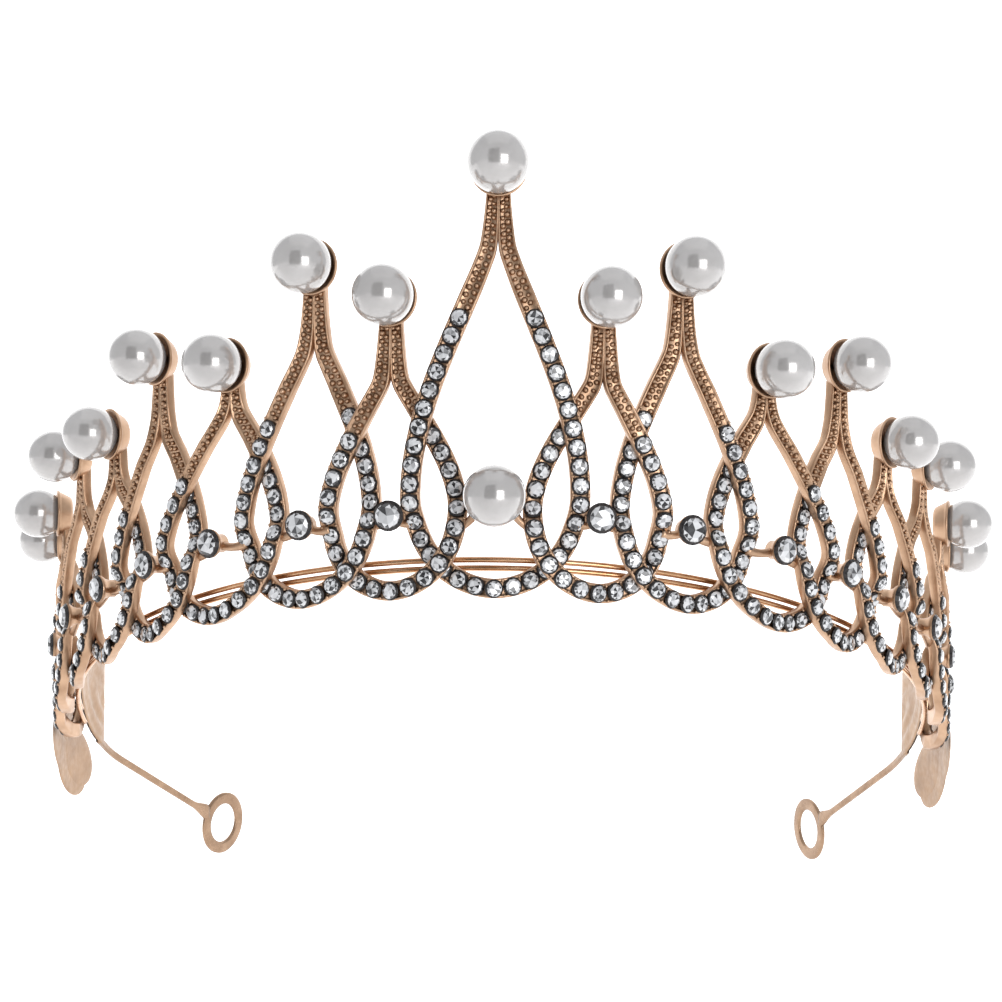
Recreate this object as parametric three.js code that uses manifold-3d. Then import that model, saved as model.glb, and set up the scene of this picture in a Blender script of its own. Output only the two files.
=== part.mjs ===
// A pearl and crystal crown of the tiara kind: seventeen teardrop loops woven into one curved
// openwork, a pearl on the tip of each, a crystal in the middle of each side loop, two band wires
// behind the foot of the loops, and a stamped end strap with a ring at each end.
//
// Millimetres, +Z up. The loops stand on a vertical cylinder about the Z axis, with the front at -Y.
// Their feet follow a base plane that falls towards the back, as the crown sits on a head, and the
// origin is where that plane meets the axis: the centre of the head opening.
import * as THREE from "three";
import { mergeVertices } from "three/addons/utils/BufferGeometryUtils.js";
import Module from "manifold-3d";

const wasm = await Module();
wasm.setup();

// ---------- driving dimensions ----------
const RADIUS = 78; // from the Z axis to the middle of the openwork's thickness
const FALL = 0.47; // how far the base plane drops for each millimetre towards the back
const CLEARANCE = 0.3; // between pieces that are soldered or glued together

const LEG_WIDTH = 2.6; // of a loop's cast leg, along the openwork
const LEG_DEPTH = 1.4; // of a loop's cast leg, from its face to its back
const STEM_WIDTH = 3.1; // where the stem reaches the pearl's cup
const STEM_TAPER = 1.6; // at 1 a stem narrows evenly, and above 1 it narrows mostly near the legs
const WEAVE_TURN_START = 7.5; // height above the base line where an under leg starts to rise
const WEAVE_TURN_LENGTH = 4.7; // and how much higher it is when it is over

// Each loop: where its belly and its tip stand along the openwork, its width between the middles of
// its legs, the height of its widest point, and the height of its pearl. The two legs close at
// `stem` below the pearl. The first is the centre loop, and the others are made on both sides.
const LOOPS = [
  { at: 0, tip: 0, width: 22, belly: 12.3, peak: 54.7, stem: 4.7 },
  { at: 13.6, tip: 14, width: 17.4, belly: 9.8, peak: 38.4, stem: 7.2 },
  { at: 25.9, tip: 24.8, width: 18.5, belly: 10.2, peak: 44.1, stem: 6.5 },
  { at: 40.2, tip: 37.9, width: 19.8, belly: 9.8, peak: 33.8, stem: 3.4 },
  { at: 53, tip: 51.8, width: 16.8, belly: 9.8, peak: 38.9, stem: 7.2 },
  { at: 65.7, tip: 63.6, width: 17.4, belly: 9.8, peak: 32.2, stem: 5 },
  { at: 79.4, tip: 77.6, width: 17.6, belly: 9.8, peak: 34.3, stem: 6 },
  { at: 93.4, tip: 92.9, width: 17.6, belly: 9.8, peak: 31.6, stem: 6 },
  { at: 107.6, tip: 107, width: 17.6, belly: 9.8, peak: 33.1, stem: 6 },
];

const PEARL_RADIUS = 4;
const PEARL_BORE = 0.9; // radius of the half-drilled hole in a pearl's back
const PEARL_BORE_DEPTH = 3.6;
const PEG_RADIUS = 0.5; // the peg that a pearl is glued on
const PEG_LENGTH = 2.8;
const CUP_RADIUS = 3.8;
const CUP_RIM = 0.5; // width of the flat rim of a pearl's cup
const CUP_DEPTH = 2.4; // from a cup's back to its rim
const CUP_BACK_RADIUS = 2.5; // of the flat on a cup's back

const STONE_RADIUS = 2.05;
const STONE_TABLE = 1.15; // radius of the flat on top of a crystal
const STONE_CROWN = 0.6; // height of a crystal above its girdle
const STONE_PAVILION = 1.1; // depth of a crystal below its girdle
const STONE_GIRDLE = 0.2;
const STONE_HEIGHT = 9.9; // of a crystal's middle above the base line
const SEAT_STEM = 1.3; // radius of the post behind a crystal's seat
const SEAT_RADIUS = 1.9; // of the seat's cone, which ends just inside the crystal's girdle
const SEAT_WALL = 0.35;
const ARM_WIDTH = 1.4; // of the bar from a leg to a crystal's seat

const CENTRE_PEARL_HEIGHT = 12.1;
const CENTRE_PEARL_PROUD = 1.3; // how much further out the centre pearl sits than the others

const WIRE_RADIUS = 0.4;
const WIRE_HEIGHT = 3.1; // of the middle of the pair above the base line

const PLATE_LENGTH = 24;
const PLATE_HEIGHT = 16.2;
const PLATE_FOOT = 1.8; // the plate's lower edge above the base line
const PLATE_END = 125.5; // the plate's back edge, along the openwork
const STRAP_DEPTH = 0.8;
const TAIL_WIDTH = 1.5;
const TAIL_LENGTH = 38; // from the plate to the middle of the ring
// Degrees that each tail turns inwards of the plate's own direction. They are soft and bent by hand.
const TAIL_TURN = { left: 25.5, right: 14.5 };
const TAIL_FALL = 0.6; // drop for each millimetre along the tail
const RING_RADIUS = 6.4;
const RING_HOLE = 4;

const LEAF_DEPTH = 1.1;
const LEAF_LENGTH = 29.4; // along the openwork
const LEAF_AHEAD = 3.4; // how far the leaf reaches forward of the last loop's middle
const LEAF_DROP = 8.4; // how far the leaf's lower edge hangs below the base line
const LEAF_RISE = 7.6; // how far its upper edge stands above it

// ---------- smoothness of the facets ----------
const ROUND_SEGMENTS = 10;
const STONE_SEGMENTS = 8;
const OUTLINE_STEPS = 15; // along one leg of a loop
const STEM_STEPS = 5;
const BELLY_SHARE = 0.4; // the share of those steps that lies below the belly

// ---------- values that follow from the ones above ----------
const WEAVE = (LEG_DEPTH + CLEARANCE) / 2; // a leg that goes over stands this far out, under this far in
const CUP_BACK = -LEG_DEPTH / 2;
const PEARL_OUT = PEARL_RADIUS + 0.5; // the pearl's middle, out from the middle of the openwork
const BEHIND_LOOPS = -(WEAVE + LEG_DEPTH / 2 + CLEARANCE); // nothing behind the loops comes further out
const WIRE_OUT = BEHIND_LOOPS - WIRE_RADIUS;
const STRAP_OUT = BEHIND_LOOPS - STRAP_DEPTH / 2;
const STONE_CULET = 0.95; // the crystal's point, out from the middle of the openwork

const gold = new THREE.MeshStandardMaterial({ color: 0xd9a878, roughness: 0.3, metalness: 1 });
const pearl = new THREE.MeshStandardMaterial({ color: 0xe9e6e6, roughness: 0.25, metalness: 0 });
const crystal = new THREE.MeshStandardMaterial({ color: 0xf2f6fa, roughness: 0.05, metalness: 0.1 });

const crown = new THREE.Group();

function addPart(name, geometry, material) {
  const mesh = new THREE.Mesh(geometry, material);
  mesh.name = name;
  crown.add(mesh);
  return mesh;
}

// ---------- the crown's own curved space ----------
// s runs along the openwork from the centre front, h is the height above the base line, and out is
// the distance outwards from the middle of the openwork's thickness.
function onCrown(s, h, out) {
  const angle = s / RADIUS;
  return new THREE.Vector3(
    (RADIUS + out) * Math.sin(angle),
    -(RADIUS + out) * Math.cos(angle),
    FALL * RADIUS * Math.cos(angle) + h,
  );
}

function bend(geometry, place) {
  const at = geometry.getAttribute("position");
  for (let i = 0; i < at.count; i++) {
    const p = place(at.getX(i), at.getY(i), at.getZ(i));
    at.setXYZ(i, p.x, p.y, p.z);
  }
  return geometry;
}

// The turn that takes a lathe's +Y axis to the outward direction at s.
function facingOut(s) {
  const angle = s / RADIUS;
  const outward = new THREE.Vector3(Math.sin(angle), -Math.cos(angle), 0);
  return new THREE.Quaternion().setFromUnitVectors(new THREE.Vector3(0, 1, 0), outward);
}

function latheOut(points, s, h, segments) {
  const profile = points.map(([r, y]) => new THREE.Vector2(r, y));
  return new THREE.LatheGeometry(profile, segments)
    .applyQuaternion(facingOut(s))
    .translate(...onCrown(s, h, 0).toArray());
}

// ---------- joining solids ----------
function toSolid(geometry) {
  const bare = geometry.index ? geometry.toNonIndexed() : geometry.clone();
  bare.deleteAttribute("normal");
  bare.deleteAttribute("uv");
  const merged = mergeVertices(bare, 1e-4);
  return new wasm.Manifold(
    new wasm.Mesh({
      numProp: 3,
      vertProperties: new Float32Array(merged.attributes.position.array),
      triVerts: new Uint32Array(merged.index.array),
    }),
  );
}

function toGeometry(solid) {
  const mesh = solid.getMesh();
  return new THREE.BufferGeometry()
    .setAttribute("position", new THREE.BufferAttribute(mesh.vertProperties, 3))
    .setIndex(new THREE.BufferAttribute(mesh.triVerts, 1));
}

function join(geometries) {
  return toGeometry(geometries.map(toSolid).reduce((whole, piece) => whole.add(piece)));
}

// ---------- one teardrop loop ----------
// The middle of a leg, as a distance from the loop's own axis and a height. t is 0 at the foot and
// 1 where the two legs close: half an ellipse up to the belly, then a long taper.
function legPoint(loop, t) {
  const half = loop.width / 2;
  if (t < BELLY_SHARE) {
    const turn = ((t / BELLY_SHARE - 1) * Math.PI) / 2;
    return new THREE.Vector2(half * Math.cos(turn), loop.belly * (1 + Math.sin(turn)));
  }
  const rise = (t - BELLY_SHARE) / (1 - BELLY_SHARE);
  const taper = Math.pow(Math.cos((rise * Math.PI) / 2), 1.5);
  return new THREE.Vector2(half * taper, loop.belly + rise * (closeHeight(loop) - loop.belly));
}

function closeHeight(loop) {
  return loop.peak - loop.stem;
}

function smooth(x) {
  const c = Math.min(1, Math.max(0, x));
  return c * c * (3 - 2 * c);
}

// A loop leans where its tip doesn't stand over its belly.
function lean(loop, h) {
  return (loop.tip - loop.at) * smooth((h - loop.belly) / (closeHeight(loop) - loop.belly));
}

// Legs go over and under their neighbours. On the outer side of a loop the leg is in front high up
// and behind low down, and on its inner side the other way round. The centre loop has two outer sides.
function weave(loop, side, t) {
  const { x, y: h } = legPoint(loop, t);
  const across = Math.min(1, x / (loop.width / 6));
  const level = 2 * smooth((h - WEAVE_TURN_START) / WEAVE_TURN_LENGTH) - 1;
  const facing = loop.at === 0 ? 1 : side;
  return WEAVE * facing * across * level;
}

// The two legs touch where their middles are half a leg's width from the loop's axis.
function shareWhereLegsMeet(loop) {
  const cosine = Math.pow((LEG_WIDTH + CLEARANCE) / loop.width, 1 / 1.5);
  return BELLY_SHARE + (1 - BELLY_SHARE) * ((2 * Math.acos(cosine)) / Math.PI);
}

// Both legs are one bar, bent down from the top of one leg, round the foot and up the other.
function legsBody(loop) {
  const bar = new THREE.BoxGeometry(2, LEG_WIDTH, LEG_DEPTH, 2 * OUTLINE_STEPS, 1, 1);
  const last = shareWhereLegsMeet(loop);
  return bend(bar, (x, y, z) => {
    const t = Math.abs(x) * last;
    const side = Math.sign(x);
    const step = legPoint(loop, t + 1e-3).sub(legPoint(loop, Math.max(t - 1e-3, 0)));
    const normal = t > 0 ? new THREE.Vector2(-step.y, step.x).normalize() : new THREE.Vector2(0, 1);
    const edge = legPoint(loop, t).addScaledVector(normal, y);
    const s = loop.at + side * edge.x + lean(loop, edge.y);
    return onCrown(s, edge.y, z + weave(loop, side, t));
  });
}

// Above the place where the legs meet they run on as one stem, which narrows to the cup's foot.
function stemBody(loop) {
  const middle = legPoint(loop, shareWhereLegsMeet(loop));
  const foot = middle.y - LEG_WIDTH / 2;
  const height = loop.peak - CUP_BACK_RADIUS - foot;
  const footWidth = 2 * middle.x + LEG_WIDTH;
  const stem = new THREE.BoxGeometry(1, 1, LEG_DEPTH, 1, STEM_STEPS, 1);
  return bend(stem, (x, y, z) => {
    const share = y + 0.5;
    const h = foot + share * height;
    const width = STEM_WIDTH + (footWidth - STEM_WIDTH) * (1 - share) ** STEM_TAPER;
    return onCrown(loop.at + x * width + lean(loop, h), h, z);
  });
}

// ---------- cups, seats, pearls and crystals ----------
// A pearl's cup: a dish that clears the pearl, with the peg in its middle.
function cupProfile(out) {
  const dish = PEARL_RADIUS + CLEARANCE;
  const dishAt = (r) => [r, out + PEARL_OUT - Math.sqrt(dish * dish - r * r)];
  const back = out + CUP_BACK;
  const rim = back + CUP_DEPTH;
  return [
    [0, back],
    [CUP_BACK_RADIUS, back],
    [CUP_RADIUS, rim - 0.4],
    [CUP_RADIUS, rim],
    [CUP_RADIUS - CUP_RIM, rim],
    dishAt(CUP_RADIUS - CUP_RIM - 0.6),
    dishAt(CUP_RADIUS / 3),
    dishAt(PEG_RADIUS),
    [PEG_RADIUS, dishAt(PEG_RADIUS)[1] + PEG_LENGTH],
    [0, dishAt(PEG_RADIUS)[1] + PEG_LENGTH],
  ];
}

function pearlGeometry() {
  const start = Math.asin(PEARL_BORE / PEARL_RADIUS);
  const points = [
    [0, PEARL_BORE_DEPTH - PEARL_RADIUS],
    [PEARL_BORE, PEARL_BORE_DEPTH - PEARL_RADIUS],
  ];
  const steps = ROUND_SEGMENTS / 2;
  for (let i = 0; i < steps; i++) {
    const turn = start + (i / steps) * (Math.PI - start);
    points.push([PEARL_RADIUS * Math.sin(turn), -PEARL_RADIUS * Math.cos(turn)]);
  }
  points.push([0, PEARL_RADIUS]);
  const profile = points.map(([r, y]) => new THREE.Vector2(r, y));
  return new THREE.LatheGeometry(profile, ROUND_SEGMENTS);
}

function addPearl(name, s, h, out) {
  const mesh = addPart(name, pearlGeometry(), pearl);
  mesh.position.copy(onCrown(s, h, out));
  mesh.quaternion.copy(facingOut(s));
}

function stoneGeometry() {
  const girdle = STONE_PAVILION;
  const points = [
    [0, 0],
    [STONE_RADIUS, girdle],
    [STONE_RADIUS, girdle + STONE_GIRDLE],
    [STONE_TABLE, girdle + STONE_GIRDLE + STONE_CROWN],
    [0, girdle + STONE_GIRDLE + STONE_CROWN],
  ].map(([r, y]) => new THREE.Vector2(r, y));
  return new THREE.LatheGeometry(points, STONE_SEGMENTS);
}

function addStone(name, s) {
  const mesh = addPart(name, stoneGeometry(), crystal);
  mesh.position.copy(onCrown(s, STONE_HEIGHT, STONE_CULET));
  mesh.quaternion.copy(facingOut(s));
}

// The conical seat of a crystal, and the arm that holds it to the leg beside it.
function seatProfile() {
  const slope = STONE_PAVILION / STONE_RADIUS;
  const floor = STONE_CULET - CLEARANCE * Math.hypot(1, slope);
  const rim = floor + slope * SEAT_RADIUS;
  return [
    [0, -LEG_DEPTH / 2],
    [SEAT_STEM, -LEG_DEPTH / 2],
    [SEAT_STEM, rim - SEAT_WALL - slope * (SEAT_RADIUS - SEAT_STEM)],
    [SEAT_RADIUS, rim - SEAT_WALL],
    [SEAT_RADIUS, rim],
    [0, floor],
  ];
}

function bar(from, to, h, width, depth, out) {
  const steps = Math.max(1, Math.round(Math.abs(to - from) / 3));
  const box = new THREE.BoxGeometry(Math.abs(to - from), width, depth, steps, 1, 1);
  return bend(box, (s, y, z) => onCrown((from + to) / 2 + s, h + y, out + z));
}

// The seat of the next loop's crystal belongs to this loop's outer leg, on the side given.
function seatAndArm(loop, next, side) {
  const legMiddle = loop.at + loop.width / 2;
  const arm = bar(side * legMiddle, side * next.at, STONE_HEIGHT, ARM_WIDTH, LEG_DEPTH * 0.7, 0);
  return [latheOut(seatProfile(), side * next.at, STONE_HEIGHT, STONE_SEGMENTS), arm];
}

// ---------- the loops, their pearls and their crystals ----------
const SIDES = [
  { name: "left", sign: -1 },
  { name: "right", sign: 1 },
];

// A geometry made for the +X side, turned over to the side of the given sign.
function bendMirror(geometry, sign) {
  if (sign > 0) return geometry;
  const bare = geometry.index ? geometry.toNonIndexed() : geometry;
  const at = bare.getAttribute("position");
  for (let i = 0; i < at.count; i += 3) {
    const corners = [0, 2, 1].map((k) => new THREE.Vector3().fromBufferAttribute(at, i + k));
    corners.forEach((p, k) => at.setXYZ(i + k, -p.x, p.y, p.z));
  }
  return bare;
}

function addLoop(name, loop, sign, seats) {
  const cup = latheOut(cupProfile(0), sign * loop.tip, loop.peak, ROUND_SEGMENTS);
  const castings = [legsBody(loop), stemBody(loop)].map((g) => bendMirror(g, sign));
  addPart(name, join([...castings, cup, ...seats]), gold);
}

const [centreLoop, ...sideLoops] = LOOPS;
addLoop(
  "loop_centre",
  centreLoop,
  1,
  SIDES.flatMap(({ sign }) => seatAndArm(centreLoop, sideLoops[0], sign)),
);
addPearl("pearl_top", centreLoop.tip, centreLoop.peak, PEARL_OUT);
for (const { name, sign } of SIDES) {
  sideLoops.forEach((loop, i) => {
    const next = sideLoops[i + 1];
    addLoop(`loop_${name}_${i + 1}`, loop, sign, next ? seatAndArm(loop, next, sign) : []);
    addPearl(`pearl_${name}_${i + 1}`, sign * loop.tip, loop.peak, PEARL_OUT);
    addStone(`stone_${name}_${i + 1}`, sign * loop.at);
  });
}

// ---------- the centre pearl in its own cup ----------
// A short bar behind the cup reaches the inner legs of the first loop on each side.
const firstLegEdge = sideLoops[0].at - sideLoops[0].width / 2 - LEG_WIDTH / 2;
const crossBarHalf = firstLegEdge - CLEARANCE;
const crossBarHeight = CENTRE_PEARL_HEIGHT - CUP_RADIUS / 2;
addPart(
  "centre_pearl_seat",
  join([
    latheOut(cupProfile(CENTRE_PEARL_PROUD), 0, CENTRE_PEARL_HEIGHT, ROUND_SEGMENTS),
    bar(-crossBarHalf, crossBarHalf, crossBarHeight, ARM_WIDTH, LEG_DEPTH, CENTRE_PEARL_PROUD / 2),
  ]),
  gold,
);
addPearl("pearl_centre", 0, CENTRE_PEARL_HEIGHT, PEARL_OUT + CENTRE_PEARL_PROUD);

// ---------- the band wires ----------
// Both wires stop where they meet the curved front edge of the end plates.
const plateMiddle = PLATE_FOOT + PLATE_HEIGHT / 2;

function plateFront(h) {
  const share = (h - plateMiddle) / (PLATE_HEIGHT / 2);
  return PLATE_END - PLATE_LENGTH * Math.sqrt(Math.max(0, 1 - share * share));
}

class BandCurve extends THREE.Curve {
  constructor(height, half) {
    super();
    this.height = height;
    this.half = half;
  }
  getPoint(t, target = new THREE.Vector3()) {
    return target.copy(onCrown((2 * t - 1) * this.half, this.height, WIRE_OUT));
  }
}

function bandWire(height) {
  const section = new THREE.Shape().absarc(0, 0, WIRE_RADIUS, 0, 2 * Math.PI);
  const half = plateFront(height + WIRE_RADIUS) - 2 * CLEARANCE;
  return new THREE.ExtrudeGeometry(section, {
    extrudePath: new BandCurve(height, half),
    steps: 40,
    curveSegments: 3,
  });
}

const wireGap = WIRE_RADIUS + CLEARANCE / 2;
addPart("band_wire_upper", bandWire(WIRE_HEIGHT + wireGap), gold);
addPart("band_wire_lower", bandWire(WIRE_HEIGHT - wireGap), gold);

// ---------- the end straps: plate, tail and ring, stamped in one piece ----------
// The tail leaves the plate's lower back corner, bends inwards and falls to the ring.
function tailPoint(along, across, out, turnBy) {
  const start = onCrown(PLATE_END, 0, STRAP_OUT);
  const plateTurn = PLATE_END / RADIUS - Math.PI / 2;
  const fullTurn = plateTurn + (turnBy * Math.PI) / 180;
  const bendLength = TAIL_LENGTH / 4;
  let [x, y] = [start.x, start.y];
  const steps = 24;
  let turn = plateTurn;
  for (let i = 0; i < steps; i++) {
    turn = plateTurn + (fullTurn - plateTurn) * smooth((along * (i + 0.5)) / steps / bendLength);
    x -= (Math.sin(turn) * along) / steps;
    y += (Math.cos(turn) * along) / steps;
  }
  const z = start.z + PLATE_FOOT + TAIL_WIDTH / 2 - TAIL_FALL * along;
  return new THREE.Vector3(x + Math.cos(turn) * out, y + Math.sin(turn) * out, z + across);
}

function plateBody() {
  const box = new THREE.BoxGeometry(1, 1, STRAP_DEPTH, 10, 1, 1);
  return bend(box, (x, y, z) => {
    const along = 0.985 * (0.5 - x); // stops just short of the tip, so that the front edge has a height
    const half = (PLATE_HEIGHT / 2) * Math.sqrt(1 - along * along);
    return onCrown(PLATE_END - PLATE_LENGTH * along, plateMiddle + 2 * half * y, STRAP_OUT + z);
  });
}

// The tail starts a little inside the plate and ends inside the ring's rim.
function tailBody(turnBy) {
  const first = -3;
  const last = TAIL_LENGTH - (RING_RADIUS + RING_HOLE) / 2;
  const box = new THREE.BoxGeometry(1, TAIL_WIDTH, STRAP_DEPTH, 14, 1, 1);
  return bend(box, (x, y, z) => {
    const along = first + (x + 0.5) * (last - first);
    if (along >= 0) return tailPoint(along, y, z, turnBy);
    return onCrown(PLATE_END + along, PLATE_FOOT + TAIL_WIDTH / 2 + y, STRAP_OUT + z);
  });
}

function ringBody(turnBy) {
  const shape = new THREE.Shape().absarc(0, 0, RING_RADIUS, 0, 2 * Math.PI);
  shape.holes.push(new THREE.Path().absarc(0, 0, RING_HOLE, 0, 2 * Math.PI));
  const flat = new THREE.ExtrudeGeometry(shape, {
    depth: STRAP_DEPTH,
    bevelEnabled: false,
    curveSegments: ROUND_SEGMENTS,
  });
  const middle = tailPoint(TAIL_LENGTH, 0, 0, turnBy);
  const back = tailPoint(TAIL_LENGTH - 1, 0, 0, turnBy);
  const outwards = tailPoint(TAIL_LENGTH, 0, 1, turnBy).sub(middle);
  const along = middle.clone().sub(back).setZ(0).normalize();
  const frame = new THREE.Matrix4().makeBasis(along, new THREE.Vector3(0, 0, 1), outwards);
  return flat.translate(0, 0, -STRAP_DEPTH / 2).applyMatrix4(frame.setPosition(middle));
}

for (const { name, sign } of SIDES) {
  const turnBy = TAIL_TURN[name];
  const strap = [plateBody(), tailBody(turnBy), ringBody(turnBy)].map((g) => bendMirror(g, sign));
  addPart(`end_strap_${name}`, join(strap), gold);
}

// ---------- the end leaves ----------
// A plain leaf hangs over the foot of the last loop and covers the end of the openwork.
const LEAF_START = LOOPS.at(-1).at - LEAF_AHEAD;
const LEAF_OUT = WEAVE + LEG_DEPTH / 2 + CLEARANCE + LEAF_DEPTH / 2;

function leafBody() {
  const box = new THREE.BoxGeometry(1, 1, LEAF_DEPTH, 10, 2, 1);
  return bend(box, (x, y, z) => {
    const along = 0.5 + 0.96 * x;
    const round = Math.sqrt(4 * along * (1 - along));
    const edge = y > 0 ? LEAF_RISE : LEAF_DROP;
    return onCrown(LEAF_START + LEAF_LENGTH * along, 2 * y * edge * round, LEAF_OUT + z);
  });
}

for (const { name, sign } of SIDES) {
  addPart(`end_leaf_${name}`, bendMirror(leafBody(), sign), gold);
}

export default crown;
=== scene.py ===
import math
import random
from bisect import bisect_right

import bmesh
import bpy
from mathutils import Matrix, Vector


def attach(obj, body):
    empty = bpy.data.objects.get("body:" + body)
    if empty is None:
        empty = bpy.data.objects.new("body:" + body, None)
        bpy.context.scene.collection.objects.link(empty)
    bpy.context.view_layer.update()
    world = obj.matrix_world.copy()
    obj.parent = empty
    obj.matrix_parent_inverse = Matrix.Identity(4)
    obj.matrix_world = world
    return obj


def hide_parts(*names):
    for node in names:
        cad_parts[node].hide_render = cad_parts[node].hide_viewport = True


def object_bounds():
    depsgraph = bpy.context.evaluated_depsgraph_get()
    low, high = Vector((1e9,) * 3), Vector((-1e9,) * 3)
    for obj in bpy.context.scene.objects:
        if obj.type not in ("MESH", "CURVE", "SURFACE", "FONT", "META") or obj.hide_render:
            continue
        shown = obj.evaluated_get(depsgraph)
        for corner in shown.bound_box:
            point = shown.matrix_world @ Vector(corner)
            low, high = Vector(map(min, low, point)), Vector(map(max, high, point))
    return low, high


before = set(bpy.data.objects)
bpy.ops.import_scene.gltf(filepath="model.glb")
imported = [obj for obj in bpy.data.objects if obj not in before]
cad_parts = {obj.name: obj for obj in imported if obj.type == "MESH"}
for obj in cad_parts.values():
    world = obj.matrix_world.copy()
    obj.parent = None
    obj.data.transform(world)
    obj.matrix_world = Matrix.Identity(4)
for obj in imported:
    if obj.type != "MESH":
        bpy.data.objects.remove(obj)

cad_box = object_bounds()

# A rose-gold tiara: woven teardrop loops set with rhinestones and beaded above them, pearls on the
# tips, two band wires, end straps and end leaves. Sizes are in millimetres, as in the CAD source,
# and become metres when a piece is made.

MM = 0.001
BODY = "root"

# ---------- sizes shared with the CAD source ----------
RADIUS = 78
FALL = 0.47
CLEARANCE = 0.3
LEG_WIDTH = 2.6
LEG_DEPTH = 1.4
STEM_WIDTH = 3.1
WEAVE = (LEG_DEPTH + CLEARANCE) / 2
WEAVE_TURN_START = 7.5
WEAVE_TURN_LENGTH = 4.7
BELLY_SHARE = 0.4
PEARL_RADIUS = 4
PEARL_OUT = PEARL_RADIUS + 0.5
PEARL_BORE = 0.9
CUP_BACK_RADIUS = 2.5
STONE_RADIUS = 2.05
STONE_HEIGHT = 9.9
STONE_GIRDLE_OUT = 2.15
CENTRE_PEARL_HEIGHT = 12.1
CENTRE_PEARL_PROUD = 1.3
BEHIND_LOOPS = -(WEAVE + LEG_DEPTH / 2 + CLEARANCE)
WIRE_RADIUS = 0.4
WIRE_HEIGHT = 3.1
WIRE_OUT = BEHIND_LOOPS - WIRE_RADIUS
STRAP_DEPTH = 0.8
STRAP_OUT = BEHIND_LOOPS - STRAP_DEPTH / 2
PLATE_LENGTH = 24
PLATE_HEIGHT = 16.2
PLATE_FOOT = 1.8
PLATE_END = 125.5
TAIL_WIDTH = 1.5
TAIL_LENGTH = 38
TAIL_TURN = {"left": 25.5, "right": 14.5}
TAIL_FALL = 0.6
RING_RADIUS = 6.4
RING_HOLE = 4


class Loop:
    """One teardrop: where its belly and its tip stand along the openwork, its width, the height of
    its belly and of its pearl, how far below the pearl its legs close, and how high its stones go."""

    def __init__(self, at, tip, width, belly, peak, stem, stones):
        self.at, self.tip, self.width, self.belly = at, tip, width, belly
        self.peak, self.close, self.stones = peak, peak - stem, stones


CENTRE_LOOP = Loop(0, 0, 22, 12.3, 54.7, 4.7, 35)
SIDE_LOOPS = [
    Loop(13.6, 14, 17.4, 9.8, 38.4, 7.2, 20),
    Loop(25.9, 24.8, 18.5, 10.2, 44.1, 6.5, 23.4),
    Loop(40.2, 37.9, 19.8, 9.8, 33.8, 3.4, 19),
    Loop(53, 51.8, 16.8, 9.8, 38.9, 7.2, 18),
    Loop(65.7, 63.6, 17.4, 9.8, 32.2, 5, 16),
    Loop(79.4, 77.6, 17.6, 9.8, 34.3, 6, 16),
    Loop(93.4, 92.9, 17.6, 9.8, 31.6, 6, 16),
    Loop(107.6, 107, 17.6, 9.8, 33.1, 6, 16),
]
SIDES = [("left", -1), ("right", 1)]

# ---------- sizes of the fine detail ----------
SMALL_STONE_RADIUS = 1.26
SMALL_STONE_PITCH = 2.5
SMALL_STONE_OUT = 0.78
LEG_STEP = 0.5
BEAD_RADIUS = 0.34
# Size of the disc of painted shade round each bead's foot, as a share of the bead's radius.
BEAD_SHADE_DISC = 1.18
BEAD_PITCH = 0.5
BEAD_ROW = 0.38
BEAD_STRAY = 0.12
BEAD_OUT = 0.5
PRONG_RADIUS = 0.25
PRONG_ROW = 1.0
PRONG_OUT = 0.74

# Half of a leg's cross-section from the middle of its back to the middle of its face, as pairs of
# distance across and distance out. The face is a shallow channel between two rounded borders.
LEG_PROFILE = [
    (0, -0.82), (0.9, -0.82), (1.14, -0.74), (1.27, -0.5), (1.3, -0.1), (1.3, 0.36),
    (1.27, 0.56), (1.18, 0.68), (1.06, 0.72), (0.95, 0.67), (0.86, 0.52), (0.7, 0.44), (0, 0.42),
]


# ---------- the crown's curved space ----------
def on_crown(s, h, out):
    angle = s / RADIUS
    return Vector((
        (RADIUS + out) * math.sin(angle),
        -(RADIUS + out) * math.cos(angle),
        FALL * RADIUS * math.cos(angle) + h,
    ))


def outward(s):
    return Vector((math.sin(s / RADIUS), -math.cos(s / RADIUS), 0))


def smooth(x):
    c = min(1, max(0, x))
    return c * c * (3 - 2 * c)


# ---------- collecting faces and making objects ----------
class Shape:
    """The faces of one piece, with a material slot and a painted reflection level for each face."""

    def __init__(self):
        self.points, self.faces, self.slots, self.tones, self.flat = [], [], [], [], []

    def add(self, points, faces, slot=0, flat=False, tones=None):
        start = len(self.points)
        self.points.extend(points)
        self.faces.extend([tuple(start + i for i in face) for face in faces])
        self.slots.extend([slot] * len(faces) if isinstance(slot, int) else slot)
        self.flat.extend([flat] * len(faces))
        self.tones.extend(tones or [0.5] * len(faces))

    def make(self, name, materials, slot_name, *replaced):
        mesh = bpy.data.meshes.new(name)
        mesh.from_pydata([p * MM for p in self.points], [], self.faces)
        for material in materials:
            mesh.materials.append(material)
        mesh.polygons.foreach_set("material_index", self.slots)
        mesh.polygons.foreach_set("use_smooth", [not flat for flat in self.flat])
        # Each face's painted reflection level, read only by the crystal material.
        mesh.attributes.new("painted_reflection", "FLOAT", "FACE").data.foreach_set("value", self.tones)
        work = bmesh.new()
        work.from_mesh(mesh)
        bmesh.ops.recalc_face_normals(work, faces=work.faces)
        work.to_mesh(mesh)
        work.free()
        piece = bpy.data.objects.new(name, mesh)
        bpy.context.scene.collection.objects.link(piece)
        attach(piece, BODY)
        if replaced:
            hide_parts(*replaced)
        return piece


def strip_faces(rows, columns, closed_rows=False, closed_columns=True):
    """The quads between rows of points that follow each other."""
    faces = []
    for i in range(rows if closed_rows else rows - 1):
        for j in range(columns if closed_columns else columns - 1):
            a, b = i * columns + j, i * columns + (j + 1) % columns
            c, d = (i + 1) % rows * columns + (j + 1) % columns, (i + 1) % rows * columns + j
            faces.append((a, b, c, d))
    return faces


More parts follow.
